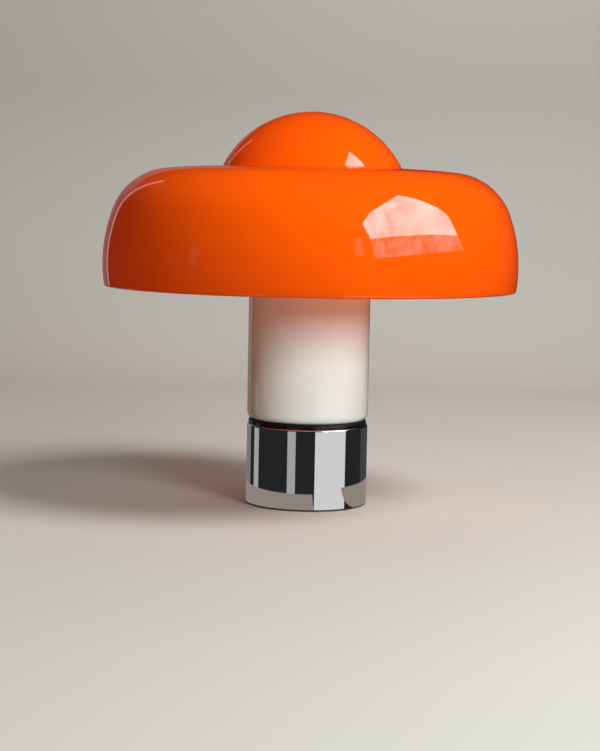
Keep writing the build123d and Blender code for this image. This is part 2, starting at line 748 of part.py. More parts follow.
nodes = {
    "foot_pad": make_foot_pad(),
    "bottom_plate": make_bottom_plate(),
    "plate_screws": make_plate_screws(),
    "ballast": make_ballast(),
    "earth_washer": make_earth_washer(),
    "earth_screw": make_earth_screw(),
    "threaded_tube": make_threaded_tube(),
    "tube_washers": make_tube_washers(),
    "tube_nuts": make_tube_nuts(),
    "base_cover": make_base_cover(),
    "inlet_bushing": make_inlet_bushing(),
    "inlet_nut": make_inlet_nut(),
    "seat_collar": make_seat_collar(),
    "seat_gasket": make_seat_gasket(),
    "holder_cap": make_holder_cap(),
    "holder_core": make_holder_core(),
    "terminal_screws": make_terminal_screws(),
    "holder_sleeve": make_holder_sleeve(),
    "screw_shell": make_screw_shell(),
    "centre_contact": make_centre_contact(),
    "stem_glass": make_stem_glass(),
    "clamp_gasket": make_clamp_gasket(),
    "clamp_ring": make_clamp_ring(),
    "rim_gasket": make_rim_gasket(),
    "shade_carrier": make_shade_carrier(),
    "carrier_clips": make_carrier_clips(),
    "clip_rivets": make_clip_rivets(),
    "carrier_pads": make_carrier_pads(),
    "shade_glass": make_shade_glass(),
    "bulb_contact": make_bulb_contact(),
    "bulb_insulator": make_bulb_insulator(),
    "bulb_cap": make_bulb_cap(),
    "bulb_body": make_bulb_body(),
    "led_board": make_led_board(),
    "bulb_diffuser": make_bulb_diffuser(),
}

os.makedirs("parts", exist_ok=True)
for name, piece in nodes.items():
    solids = [s for item in piece for s in item.solids()] if isinstance(piece, list) else piece.solids()
    export_step(Compound(children=solids) if len(solids) > 1 else solids[0], f"parts/{name}.step")
    print(f"{name}: {len(solids)} solid(s)")
print(f"stem top {stem_top_z:.2f}, pad top {pad_top_z:.2f}, crease at r {crease_c[0]:.2f}")
print(f"lamp from {bulb_z:.2f} to {bulb_top_z:.2f}, lampholder top {sleeve_top_z:.2f}")
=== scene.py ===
from math import acos, asin, atan2, ceil, cos, degrees, hypot, pi, radians, sin, sqrt, tan

import bmesh
import bpy
from mathutils import Matrix, Vector


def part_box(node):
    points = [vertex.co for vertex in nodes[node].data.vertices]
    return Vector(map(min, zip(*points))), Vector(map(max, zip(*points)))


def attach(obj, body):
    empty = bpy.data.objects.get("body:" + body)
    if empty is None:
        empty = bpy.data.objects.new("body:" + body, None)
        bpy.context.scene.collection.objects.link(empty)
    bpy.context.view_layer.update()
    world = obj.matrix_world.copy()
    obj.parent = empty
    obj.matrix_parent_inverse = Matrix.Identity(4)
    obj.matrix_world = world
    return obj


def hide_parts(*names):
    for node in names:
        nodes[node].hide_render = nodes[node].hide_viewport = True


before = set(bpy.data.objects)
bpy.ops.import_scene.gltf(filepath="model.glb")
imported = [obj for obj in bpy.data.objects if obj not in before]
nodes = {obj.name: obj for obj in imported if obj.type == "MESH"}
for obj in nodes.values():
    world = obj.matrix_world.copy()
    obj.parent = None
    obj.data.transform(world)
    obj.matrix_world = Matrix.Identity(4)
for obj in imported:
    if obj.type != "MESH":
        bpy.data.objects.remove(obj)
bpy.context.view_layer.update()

# ---- camera ----------------------------------------------------------------------------
# The lamp is seen from in front through a long lens, from about 1.7 m away and the height
# of the top of its brim. The camera is tipped down a little and held slightly askew.

EYE = (0.0, -1.7334, 0.2890)
TIPPED_DOWN = radians(5.43)
HELD_ASKEW = radians(1.10)
TURNED = radians(0.262)
camera_data = bpy.data.cameras.new("camera")
camera_data.sensor_fit = "HORIZONTAL"
camera_data.sensor_width = 36.0
camera_data.lens = 107.34
camera = bpy.data.objects.new("camera", camera_data)
bpy.context.scene.collection.objects.link(camera)
camera.matrix_world = (Matrix.Translation(EYE) @ Matrix.Rotation(TURNED, 4, "Z")
                       @ Matrix.Rotation(pi / 2 - TIPPED_DOWN, 4, "X")
                       @ Matrix.Rotation(HELD_ASKEW, 4, "Z"))
bpy.context.scene.camera = camera
bpy.context.scene.view_settings.view_transform = "Standard"

# ---- studio ----------------------------------------------------------------------------
# A pale floor that curves up into a pale backdrop, a large window light high on the right,
# and cards stood round the lamp that only its polished surfaces show.


def shader(name, **settings):
    """A material with one Principled shader, its sockets set by name, and its node tree."""
    material = bpy.data.materials.new(name)
    material.use_nodes = True
    tree = material.node_tree
    principled = tree.nodes["Principled BSDF"]
    for socket, value in settings.items():
        principled.inputs[socket.replace("_", " ")].default_value = value
    return material, tree, principled


def new_node(tree, kind, **values):
    """A new shader node, its sockets set by name."""
    made = tree.nodes.new("ShaderNode" + kind)
    for socket, value in values.items():
        made.inputs[socket.replace("_", " ")].default_value = value
    return made


def mixed(tree, factor, first, second):
    """Two shaders mixed by a number or by another node's socket."""
    mix = new_node(tree, "MixShader")
    if isinstance(factor, float):
        mix.inputs[0].default_value = factor
    else:
        tree.links.new(factor, mix.inputs[0])
    tree.links.new(first, mix.inputs[1])
    tree.links.new(second, mix.inputs[2])
    return mix.outputs[0]


def surface(tree, shading):
    """Makes a shader the one that the material shows."""
    tree.links.new(shading, tree.nodes["Material Output"].inputs["Surface"])


def mesh_object(name, points, faces, *materials):
    """A new object at the origin, from points in metres and faces."""
    mesh = bpy.data.meshes.new(name)
    mesh.from_pydata(points, [], faces)
    for material in materials:
        mesh.materials.append(material)
    thing = bpy.data.objects.new(name, mesh)
    bpy.context.scene.collection.objects.link(thing)
    return thing


def backdrop():
    """One sheet, level in front and upright behind; it throws little light back and, being
    one-sided, doesn't hide the lamp from a camera behind or below it."""
    cove_y, cove_r, half_width = 1.1, 0.5, 5.0
    section = [(-5.0, 0.0), (cove_y, 0.0)]
    section += [(cove_y + cove_r * sin(a), cove_r * (1 - cos(a)))
                for a in (radians(5 * i) for i in range(1, 19))]
    section += [(cove_y + cove_r, 4.0)]
    points = [(x, y, z) for y, z in section for x in (-half_width, half_width)]
    faces = [(2 * i, 2 * i + 1, 2 * i + 3, 2 * i + 2) for i in range(len(section) - 1)]
    paper, tree, pale = shader("backdrop_paper", Base_Color=(0.41, 0.385, 0.36, 1), Roughness=0.9,
                               Specular_IOR_Level=0.1)
    dim = new_node(tree, "BsdfDiffuse", Color=(0.26, 0.225, 0.175, 1))
    seen = new_node(tree, "LightPath").outputs["Is Camera Ray"]
    paper_or_dim = mixed(tree, seen, dim.outputs[0], pale.outputs[0])
    back = new_node(tree, "NewGeometry").outputs["Backfacing"]
    clear = new_node(tree, "BsdfTransparent")
    surface(tree, mixed(tree, back, paper_or_dim, clear.outputs[0]))
    sheet = mesh_object("backdrop", points, faces, paper)
    sheet.data.shade_smooth()
    sheet.visible_glossy = False
    return sheet


def glow(name, colour, strength):
    """A material that only gives light."""
    material = bpy.data.materials.new(name)
    material.use_nodes = True
    tree = material.node_tree
    tree.nodes.remove(tree.nodes["Principled BSDF"])
    surface(tree, new_node(tree, "Emission", Color=(*colour, 1), Strength=strength).outputs[0])
    return material


def towards(azimuth, elevation, reach, start=(0.0, 0.0, 0.28)):
    """The point at a level distance from start, by azimuth from the front to the right."""
    a = radians(azimuth)
    return (start[0] + reach * sin(a), start[1] - reach * cos(a),
            start[2] + reach * tan(radians(elevation)))


backdrop()

# the window's four corners in metres, and the strip of garden that shows under it
WINDOW = [(1.70, -0.15, 3.10), (2.35, -4.05, 3.10), (2.30, -3.60, 1.85), (1.70, -0.15, 0.75)]
UNDER_WINDOW = [WINDOW[2], (2.10, -3.15, 0.75), (1.65, -0.10, 0.50), WINDOW[3]]


def noise(tree, scale, stretch=None, **values):
    """Cloudy noise fixed to the object, stretched along its axes where asked."""
    place = new_node(tree, "TexCoord").outputs["Object"]
    if stretch:
        stretched = new_node(tree, "Mapping", Scale=stretch)
        tree.links.new(place, stretched.inputs["Vector"])
        place = stretched.outputs[0]
    cloud = new_node(tree, "TexNoise", Scale=scale, **values)
    tree.links.new(place, cloud.inputs["Vector"])
    return cloud.outputs["Fac"]


def ranged(tree, factor, low, high, start=0.0, end=1.0):
    """A factor carried over from one range of numbers to another."""
    level = new_node(tree, "MapRange", From_Min=start, From_Max=end, To_Min=low, To_Max=high)
    tree.links.new(factor, level.inputs["Value"])
    return level.outputs[0]


def uneven_glow(name, colour, low, high, scale):
    """Light that is brighter in some places than in others, as sky and trees are."""
    material = glow(name, colour, high)
    tree = material.node_tree
    level = ranged(tree, noise(tree, scale, Detail=5.0), low, high, 0.38, 0.62)
    tree.links.new(level, tree.nodes["Emission"].inputs["Strength"])
    return material


for name, corners, low, high, scale in (("sky_light", WINDOW, 6.5, 11.0, 1.1),
                                        ("garden_light", UNDER_WINDOW, 0.25, 2.7, 2.6)):
    pane = mesh_object(name, corners, [(0, 1, 2, 3)],
                       uneven_glow(name, (0.88, 0.95, 1.0), low, high, scale))
    pane.visible_camera = False
    pane.visible_diffuse = False


def reflected_only(thing):
    """Leaves a thing to be seen in polished surfaces and nowhere else."""
    for seen_by in ("camera", "diffuse", "transmission", "volume_scatter", "shadow"):
        setattr(thing, "visible_" + seen_by, False)


def card(name, azimuth_from, azimuth_to, low, high, tone, reach=2.15):
    """An upright grey card bent round the lamp, between two azimuths and two heights."""
    steps = max(2, ceil((azimuth_to - azimuth_from) / 6))
    turns = [radians(azimuth_from + (azimuth_to - azimuth_from) * i / steps)
             for i in range(steps + 1)]
    points = [(reach * sin(a), -reach * cos(a), z) for a in turns for z in (low, high)]
    faces = [(2 * i, 2 * i + 1, 2 * i + 3, 2 * i + 2) for i in range(steps)]
    reflected_only(mesh_object(name, points, faces, glow(name, (tone, tone, tone), 1.0)))


# cards in a few plain greys; those for the base stand near it and reach a little below it
BRIGHT, PALE, GREY, DIM = 0.70, 0.40, 0.20, 0.06
TABLE_Z, NEAR_REACH = -0.12, 0.6
# azimuth from and to, and grey
BASE_CARDS = [(-180, -130, GREY), (-115, -100, PALE), (-35, -20, PALE), (15, 75, BRIGHT),
              (120, 180, DIM)]
for number, (start, stop, tone) in enumerate(BASE_CARDS):
    card(f"base_card_{number}", start, stop, TABLE_Z, 0.06, tone, NEAR_REACH)
    card(f"low_card_{number}", start, stop, -0.45, TABLE_Z, tone / 2, NEAR_REACH)

# the tall ones show in the shade and the stem: azimuths, heights and grey
TALL_CARDS = [(-180, -148, -0.1, 1.05, GREY), (-146, -142, -0.1, 1.75, BRIGHT),
              (-65, -60, 0.25, 0.65, GREY), (23, 27, 0.60, 1.05, BRIGHT)]
for number, (start, stop, low, high, tone) in enumerate(TALL_CARDS):
    card(f"tall_card_{number}", start, stop, low, high, tone)

# the table top shows in the lowest part of the base, except where it mirrors the window
for name, start, stop, outer in (("front", -180, 10, 0.165), ("back", 60, 180, 0.195)):
    turns = [radians(start + (stop - start) * k / 40) for k in range(41)]
    reflected_only(mesh_object(
        f"table_{name}", [(r * sin(a), -r * cos(a), -0.0005) for a in turns for r in (0.03, outer)],
        [(2 * k, 2 * k + 1, 2 * k + 3, 2 * k + 2) for k in range(40)],
        glow(f"table_{name}", (0.30, 0.26, 0.22), 1.0)))

world = bpy.data.worlds.new("studio_air")
bpy.context.scene.world = world
world.use_nodes = True
air = world.node_tree
room = air.nodes["Background"]
room.inputs["Color"].default_value = (1.0, 0.74, 0.53, 1)
room.inputs["Strength"].default_value = 0.13
dark_room = new_node(air, "Background", Color=(0.9, 0.95, 1.0, 1), Strength=0.02)
pale_air = new_node(air, "Background", Color=(0.50, 0.48, 0.45, 1))
ray = new_node(air, "LightPath").outputs
unseen = mixed(air, ray["Is Glossy Ray"], room.outputs[0], dark_room.outputs[0])
air.links.new(mixed(air, ray["Is Camera Ray"], unseen, pale_air.outputs[0]),
              air.nodes["World Output"].inputs["Surface"])


def soft_light(name, size, place, aim, watts, colour=(1, 1, 1)):
    """A square lamp box, seen by nothing but what it lights."""
    data = bpy.data.lights.new(name, "AREA")
    data.size = size
    data.energy = watts
    data.color = colour
    lamp = bpy.data.objects.new(name, data)
    bpy.context.scene.collection.objects.link(lamp)
    facing = (Vector(aim) - Vector(place)).to_track_quat("-Z", "Y")
    lamp.matrix_world = Matrix.Translation(place) @ facing.to_matrix().to_4x4()
    lamp.visible_camera = False
    lamp.visible_glossy = False


soft_light("high_right", 1.0, towards(54, 50, 1.50), (0, 0, 0.25), 73.0, (1.0, 1.0, 0.99))
soft_light("low_right", 0.6, towards(31, 17.5, 1.91, start=(0, 0, 0.15)), (0, 0, 0.15), 30.5,
           (0.80, 0.99, 1.0))
soft_light("backdrop_wash", 1.8, (-1.6, 0.5, 2.0), (-1.2, 1.6, 0.6), 10.0)
soft_light("behind", 0.8, towards(172, 34, 1.40), (0, 0, 0.2), 7.0, (1.0, 0.95, 0.90))

# ---- shade_glass -------------------------------------------------------------------------
# The shade is blown in one piece from orange glass over white: upright side, soft shoulder,
# nearly flat crown, a hollow crease and a round dome. Its rim is ground and fire-polished.

mm = 0.001
WIDE_R, WIDE_Z, RIM_Z, DOME_TOP_Z = 200.0, 231.7, 209.5, 378.8
SHADE_WALL, SIDE_R, SHOULDER_R, CROWN_R, CREASE_R, DOME_R = 4.0, 147.0, 60.1, 437.0, 2.0, 96.5
SIDE_ENDS, SHOULDER_ENDS = 20.8, 84.0


def off(centre, length, angle):
    """The point at a distance and an angle in degrees from a point of the section."""
    return (centre[0] + length * cos(radians(angle)), centre[1] + length * sin(radians(angle)))


side_c = (WIDE_R - SIDE_R, WIDE_Z)
shoulder_c = off(side_c, SIDE_R - SHOULDER_R, SIDE_ENDS)
crown_c = off(shoulder_c, SHOULDER_R - CROWN_R, SHOULDER_ENDS)
dome_c = (0.0, DOME_TOP_Z - DOME_R)
between = hypot(dome_c[0] - crown_c[0], dome_c[1] - crown_c[1])
lean = degrees(atan2(dome_c[1] - crown_c[1], dome_c[0] - crown_c[0]))
to_crown, to_dome = CROWN_R + CREASE_R, DOME_R + CREASE_R
spread = degrees(acos((to_crown**2 + between**2 - to_dome**2) / (2 * to_crown * between)))
crease_c = off(crown_c, to_crown, lean - spread)
crown_ends = degrees(atan2(crease_c[1] - crown_c[1], crease_c[0] - crown_c[0]))
dome_starts = degrees(atan2(crease_c[1] - dome_c[1], crease_c[0] - dome_c[0]))
rim_angle = -degrees(asin((WIDE_Z - RIM_Z - SHADE_WALL / 2) / (SIDE_R - SHADE_WALL / 2)))

# each arc of the section: name, centre, radius, first and last angle, points, bulging out
SHADE_ARCS = [("Side", side_c, SIDE_R, rim_angle, SIDE_ENDS, 28, True),
              ("Shoulder", shoulder_c, SHOULDER_R, SIDE_ENDS, SHOULDER_ENDS, 40, True),
              ("Crown", crown_c, CROWN_R, SHOULDER_ENDS, crown_ends, 12, True),
              ("Crease", crease_c, CREASE_R, crown_ends - 180, dome_starts - 180, 14, False),
              ("Dome", dome_c, DOME_R, dome_starts, 90.0, 44, True)]


def blown_shade_tree(arcs):
    """Nodes that chain the arcs into one section, inside and out, and turn it on a lathe."""
    tree = bpy.data.node_groups.new("blown_shade", "GeometryNodeTree")
    add, link = tree.nodes.new, tree.links.new
    tree.interface.new_socket("Geometry", in_out="INPUT", socket_type="NodeSocketGeometry")
    values = {"Wall": SHADE_WALL * mm, "Rim Centre R": 0.0, "Rim Centre Z": 0.0, "Rim Angle": 0.0}
    tip = off(side_c, SIDE_R - SHADE_WALL / 2, rim_angle)
    values["Rim Centre R"], values["Rim Centre Z"] = tip[0] * mm, tip[1] * mm
    values["Rim Angle"] = radians(rim_angle)
    for name, centre, radius, first, last, _, _ in arcs:
        values.update({f"{name} Centre R": centre[0] * mm, f"{name} Centre Z": centre[1] * mm,
                       f"{name} Radius": radius * mm, f"{name} From": radians(first),
                       f"{name} To": radians(last)})
    for name in values:
        tree.interface.new_socket(name, in_out="INPUT", socket_type="NodeSocketFloat")
    tree.interface.new_socket("Segments", in_out="INPUT", socket_type="NodeSocketInt")
    tree.interface.new_socket("Material", in_out="INPUT", socket_type="NodeSocketMaterial")
    tree.interface.new_socket("Geometry", in_out="OUTPUT", socket_type="NodeSocketGeometry")
    given = add("NodeGroupInput").outputs
    hub_r = 0.02

    def maths(operation, a, b):
        node = add("ShaderNodeMath")
        node.operation = operation
        for socket, value in zip(node.inputs, (a, b)):
            if isinstance(value, (int, float)):
                socket.default_value = value
            else:
                link(value, socket)
        return node.outputs[0]

    def placed_arc(radius, centre_r, centre_z, first, last, points):
        arc = add("GeometryNodeCurveArc")
        arc.mode = "RADIUS"
        arc.inputs["Resolution"].default_value = points
        link(radius, arc.inputs["Radius"])
        link(first, arc.inputs["Start Angle"])
        link(maths("SUBTRACT", last, first), arc.inputs["Sweep Angle"])
        place = add("ShaderNodeCombineXYZ")
        link(maths("SUBTRACT", centre_r, hub_r), place.inputs["X"])
        link(centre_z, place.inputs["Y"])
        moved = add("GeometryNodeTransform")
        link(arc.outputs["Curve"], moved.inputs["Geometry"])
        link(place.outputs[0], moved.inputs["Translation"])
        return moved.outputs[0]

    section = add("GeometryNodeJoinGeometry")
    for name, _, _, _, _, points, bulging in arcs:
        ends = [given[f"{name} {what}"] for what in ("Centre R", "Centre Z", "From", "To")]
        inner = maths("SUBTRACT" if bulging else "ADD", given[f"{name} Radius"], given["Wall"])
        for radius in (given[f"{name} Radius"], inner):
            link(placed_arc(radius, *ends, points), section.inputs[0])
    rim_from = maths("SUBTRACT", given["Rim Angle"], pi)
    link(placed_arc(maths("MULTIPLY", given["Wall"], 0.5), given["Rim Centre R"],
                    given["Rim Centre Z"], rim_from, given["Rim Angle"], 15), section.inputs[0])
    as_edges = add("GeometryNodeCurveToMesh")
    link(section.outputs[0], as_edges.inputs["Curve"])
    welded = add("GeometryNodeMergeByDistance")
    welded.inputs["Distance"].default_value = 0.00002
    link(as_edges.outputs[0], welded.inputs["Geometry"])
    one_line = add("GeometryNodeMeshToCurve")
    link(welded.outputs[0], one_line.inputs["Mesh"])
    upright = add("GeometryNodeTransform")
    upright.inputs["Scale"].default_value = (1, -1, 1)
    link(one_line.outputs[0], upright.inputs["Geometry"])
    hub = add("GeometryNodeCurvePrimitiveCircle")
    hub.inputs["Radius"].default_value = hub_r
    link(given["Segments"], hub.inputs["Resolution"])
    lathe = add("GeometryNodeCurveToMesh")
    link(hub.outputs[0], lathe.inputs["Curve"])
    link(upright.outputs[0], lathe.inputs["Profile Curve"])
    poles = add("GeometryNodeMergeByDistance")
    poles.inputs["Distance"].default_value = 0.00002
    link(lathe.outputs[0], poles.inputs["Geometry"])
    real = add("GeometryNodeRealizeInstances")
    link(poles.outputs[0], real.inputs[0])
    painted = add("GeometryNodeSetMaterial")
    link(real.outputs[0], painted.inputs["Geometry"])
    link(given["Material"], painted.inputs["Material"])
    link(painted.outputs[0], add("NodeGroupOutput").inputs[0])
    return tree, values


def made_by_nodes(name, tree, values, start=None):
    """A plain mesh object from a tree of geometry nodes, with its named inputs set."""
    mesh = start or bpy.data.meshes.new(name + "_start")
    maker = bpy.data.objects.new(name + "_maker", mesh)
    bpy.context.scene.collection.objects.link(maker)
    modifier = maker.modifiers.new("maker", "NODES")
    modifier.node_group = tree
    for item in tree.interface.items_tree:
        if item.in_out == "INPUT" and item.name in values:
            modifier[item.identifier] = values[item.name]
    graph = bpy.context.evaluated_depsgraph_get()
    result = bpy.data.meshes.new_from_object(maker.evaluated_get(graph))
    maker.modifiers.clear()
    bpy.data.objects.remove(maker)
    result.name = name
    thing = bpy.data.objects.new(name, result)
    bpy.context.scene.collection.objects.link(thing)
    return thing


def facing_out(thing, sharp=35.0):
    """Welds a mesh, turns its faces outwards and shades it smooth between sharp edges."""
    work = bmesh.new()
    work.from_mesh(thing.data)
    bmesh.ops.remove_doubles(work, verts=work.verts, dist=1e-6)
    bmesh.ops.recalc_face_normals(work, faces=work.faces)
    work.to_mesh(thing.data)
    work.free()
    thing.data.shade_smooth()
    thing.data.set_sharp_from_angle(angle=radians(sharp))
    return thing


def lets_light_through(tree, principled, colour, share):
    """Mixes in light that passes through the wall, for glass that isn't quite opaque."""
    passing = new_node(tree, "BsdfTranslucent", Color=(*colour, 1))
    surface(tree, mixed(tree, share, principled.outputs[0], passing.outputs[0]))


def toned(tree, factor, low, dark, high, light):
    """A colour that goes from dark to light between two levels of a factor."""
    ramp = new_node(tree, "ValToRGB")
    for stop, level, colour in zip(ramp.color_ramp.elements, (low, high), (dark, light)):
        stop.position = level
        stop.color = (*colour, 1)
    tree.links.new(factor, ramp.inputs["Fac"])
    return ramp.outputs["Color"]


def relief(tree, principled, height, strength, depth):
    """Gives a surface the fine relief of a pattern."""
    bump = new_node(tree, "Bump", Strength=strength, Distance=depth)
    tree.links.new(height, bump.inputs["Height"])
    tree.links.new(bump.outputs["Normal"], principled.inputs["Normal"])


def overlay_glass(name, thin, thick, see_through, share, gloss):
    """One face of the overlay glass: its colour swirls a little, its skin is fire-polished."""
    material, tree, principled = shader(
        name, Roughness=gloss, IOR=1.5, Specular_IOR_Level=0.85, Coat_Weight=0.30,
        Coat_Roughness=0.02)
    swirl = noise(tree, 7.0, Detail=3.0, Distortion=0.6)
    tree.links.new(toned(tree, swirl, 0.30, thick, 0.70, thin), principled.inputs["Base Color"])
    relief(tree, principled, noise(tree, 11.0, Detail=1.0), 0.08, 0.002)
    lets_light_through(tree, principled, see_through, share)
    return material


orange_skin = overlay_glass("orange_overlay_glass", (0.99, 0.112, 0.0005), (0.94, 0.092, 0.0004),
                            (1.0, 0.18, 0.02), 0.37, 0.04)
opal_lining = overlay_glass("opal_lining_glass", (0.90, 0.82, 0.76), (0.87, 0.78, 0.71),
                            (1.0, 0.82, 0.70), 0.90, 0.12)
shade_tree, shade_values = blown_shade_tree(SHADE_ARCS)
shade_values.update({"Segments": 240, "Material": orange_skin})
shade = facing_out(made_by_nodes("blown_shade", shade_tree, shade_values))

# the faces that look in towards the bulb are the white lining
heart = Vector((0, 0, 0.25))
shade.data.materials.append(opal_lining)
for face in shade.data.polygons:
    face.material_index = int(face.normal.dot(face.center - heart) < 0)
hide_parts("shade_glass")
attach(shade, "shade")

# ---- stem_glass --------------------------------------------------------------------------
# The stem is a mould-blown tube of opal glass, closed at the foot by a thick floor with a
# hole for the lampholder. Its foot is rounded and its cut top edge is ground.

STEM_R, STEM_IN_R, STEM_Z, STEM_FLOOR_Z = 58.8, 55.3, 82.4, 86.4
STEM_TOP_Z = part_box("stem_glass")[1][2] / mm


def rounded(corners, step=12.0):
    """Points of a half section, from corners (r, z) or (r, z, radius of the round there).

    A point a little way along each side of a round keeps the long walls flat in reflections."""
    line = []
    for i, corner in enumerate(corners):
        r, z = corner[:2]
        fillet = corner[2] if len(corner) == 3 else 0.0
        before, after = corners[i - 1], corners[(i + 1) % len(corners)]
        if not fillet:
            line.append((r, z))
            continue
        a, b = (Vector((p[0] - r, p[1] - z)).normalized() for p in (before, after))
        half = a.angle(b) / 2
        middle = Vector((r, z)) + (a + b).normalized() * (fillet / sin(half))
        start = Vector((r, z)) + a * (fillet / tan(half)) - middle
        sweep = pi - 2 * half
        turn = 1 if a.x * b.y - a.y * b.x < 0 else -1
        parts = max(2, ceil(degrees(sweep) / step))
        reach = fillet / tan(half) + 0.3 * fillet
        line.append((r + a.x * reach, z + a.y * reach))
        for k in range(parts + 1):
            angle = turn * sweep * k / parts
            line.append((middle.x + start.x * cos(angle) - start.y * sin(angle),
                         middle.y + start.x * sin(angle) + start.y * cos(angle)))
        line.append((r + b.x * reach, z + b.y * reach))
    return line


def lathe(name, line, segments, *materials):
    """A closed half section (mm) turned about the lamp's axis; points on the axis close up."""
    points, faces, rings = [], [], []
    for r, z in line:
        if r < 1e-6:
            points.append((0, 0, z * mm))
            rings.append([len(points) - 1] * segments)
            continue
        rings.append(range(len(points), len(points) + segments))
        points += [(r * mm * cos(2 * pi * k / segments), r * mm * sin(2 * pi * k / segments),
                    z * mm) for k in range(segments)]
    for i, ring in enumerate(rings):
        above = rings[(i + 1) % len(rings)]
        for k in range(segments):
            corners = [ring[k], ring[(k + 1) % segments], above[(k + 1) % segments], above[k]]
            corners = list(dict.fromkeys(corners))
            if len(corners) > 2:
                faces.append(corners)
    return facing_out(mesh_object(name, points, faces, *materials))


def opal():
    """White opal glass: dense and even, polished, with the slight ripple of the mould."""
    material, tree, principled = shader(
        "white_opal_glass", Roughness=0.07, IOR=1.52, Coat_Weight=0.3, Coat_Roughness=0.03)
    milk = toned(tree, noise(tree, 26.0, Detail=4.0), 0.25, (0.83, 0.825, 0.81),
                 0.75, (0.88, 0.875, 0.865))
    tree.links.new(milk, principled.inputs["Base Color"])
    relief(tree, principled, noise(tree, 5.0, (26.0, 26.0, 7.0), Detail=2.0), 0.10, 0.002)
    return material


stem = lathe("opal_stem", rounded([(21.2, STEM_Z, 0.8), (STEM_R, STEM_Z, 7.0),
                                   (STEM_R, STEM_TOP_Z, 1.0), (STEM_IN_R, STEM_TOP_Z, 1.0),
                                   (STEM_IN_R, STEM_FLOOR_Z, 3.5), (21.2, STEM_FLOOR_Z, 0.8)]),
             192, opal())
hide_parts("stem_glass")
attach(stem, "lamp")

# ---- base_cover --------------------------------------------------------------------------
# The base is hidden by a cup drawn from thin steel, polished and chrome plated, with a
# small round at the top edge and a hole low at the back for the cable inlet.

BASE_R, BASE_FOOT_Z, BASE_TOP_Z, COVER_WALL = 58.7, 1.8, 77.7, 1.2
INLET_Z = 12.0


def bored(thing, cutter):
    """The object with the cutter's shape taken out of it, as a plain mesh."""
    cut = thing.modifiers.new("bore", "BOOLEAN")
    cut.operation = "DIFFERENCE"
    cut.solver = "EXACT"
    cut.object = cutter
    graph = bpy.context.evaluated_depsgraph_get()
    result = bpy.data.meshes.new_from_object(thing.evaluated_get(graph))
    thing.modifiers.clear()
    thing.data = result
    bpy.data.objects.remove(cutter)
    return thing


def turned_back(thing, z):
    """Swings a piece made about the lamp's axis onto the inlet's axis, facing backwards."""
    thing.data.transform(Matrix.Translation((0, 0, z * mm)) @ Matrix.Rotation(-pi / 2, 4, "X"))
    return thing


def chrome():
    """Mirror chrome over polished steel, with the faintest haze of wiping marks."""
    material, tree, principled = shader(
        "mirror_chrome", Base_Color=(0.86, 0.86, 0.87, 1), Metallic=1.0)
    wipes = noise(tree, 1.0, (60.0, 60.0, 900.0), Detail=3.0)
    tree.links.new(ranged(tree, wipes, 0.015, 0.055), principled.inputs["Roughness"])
    return material


mirror = chrome()
cup = lathe("chrome_base", rounded([(BASE_R, BASE_FOOT_Z), (BASE_R, BASE_TOP_Z, 1.5),
                                    (20.0, BASE_TOP_Z), (20.0, BASE_TOP_Z - COVER_WALL),
                                    (BASE_R - COVER_WALL, BASE_TOP_Z - COVER_WALL, 0.4),
                                    (BASE_R - COVER_WALL, BASE_FOOT_Z)], step=8.0), 224, mirror)
cutter = turned_back(lathe("inlet_cutter", [(0, 50), (5.1, 50), (5.1, 65), (0, 65)], 48), INLET_Z)
cup = facing_out(bored(cup, cutter))
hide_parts("base_cover")
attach(cup, "lamp")

# ---- seat_collar and seat_gasket -----------------------------------------------------------
# Between the chrome and the glass lies a moulded black collar, and on it a slightly
# smaller rubber ring that the glass rests on.


def black_moulding(name, roughness):
    """Black plastic, rubber or glass with a fine moulded grain."""
    material, tree, principled = shader(name, Base_Color=(0.0045, 0.0048, 0.0050, 1),
                                        Roughness=roughness)
    relief(tree, principled, noise(tree, 900.0), 0.06, 0.0002)
    return material


black_plastic = black_moulding("black_moulding", 0.24)
black_rubber = black_moulding("black_rubber", 0.42)
collar = lathe("seat_ring", rounded([(24.0, 77.7), (57.4, 77.7), (57.4, 80.9, 0.5), (24.0, 80.9)]),
               192, black_plastic)
gasket = lathe("rubber_ring", rounded([(24.0, 80.9), (56.9, 80.9), (56.9, 82.4, 0.4),
                                       (24.0, 82.4)]), 192, black_rubber)
for piece, node, slot in ((collar, "seat_collar", "black_plastic"),
                          (gasket, "seat_gasket", "black_rubber")):
    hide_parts(node)
    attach(piece, "lamp")

# ---- foot_pad ----------------------------------------------------------------------------
# A disc of dark wool felt, die-cut and glued under the foot. It keeps the lamp from marking
# the table and hides the heads of the plate's screws.


def dressed(material, *names):
    """Gives a material to pieces that keep the shape they have in the frame."""
    for name in names:
        for place in nodes[name].material_slots:
            place.material = material


def felted(name, light, dark):
    """Pressed wool: short fibres lying every way, their tone varying at random, with painted shade
    in the hollows between them.
    """
    material, tree, principled = shader(name, Roughness=0.95, Specular_IOR_Level=0.15,
                                        Sheen_Weight=0.4, Sheen_Roughness=0.6)
    fibres = noise(tree, 1400.0, Detail=6.0, Distortion=1.5)
    # one noise sets both tone and relief, so the low hollows get painted shade as well as fibre
    # tone
    tree.links.new(toned(tree, fibres, 0.35, dark, 0.65, light), principled.inputs["Base Color"])
    relief(tree, principled, fibres, 0.6, 0.0003)
    return material


pad_disc = lathe("felt_disc", rounded([(0, 0), (55.2, 0, 0.2), (55.2, 0.8, 0.25), (0, 0.8)], 30.0),
                 160, felted("dark_felt", (0.045, 0.043, 0.042), (0.016, 0.015, 0.015)))
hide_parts("foot_pad")
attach(pad_disc, "lamp")

# ---- bottom_plate and plate_screws -------------------------------------------------------
# The steel plate closes the base and its edge is the thin dark line under the chrome. It is
# painted satin black and held to the weight by three countersunk screws.


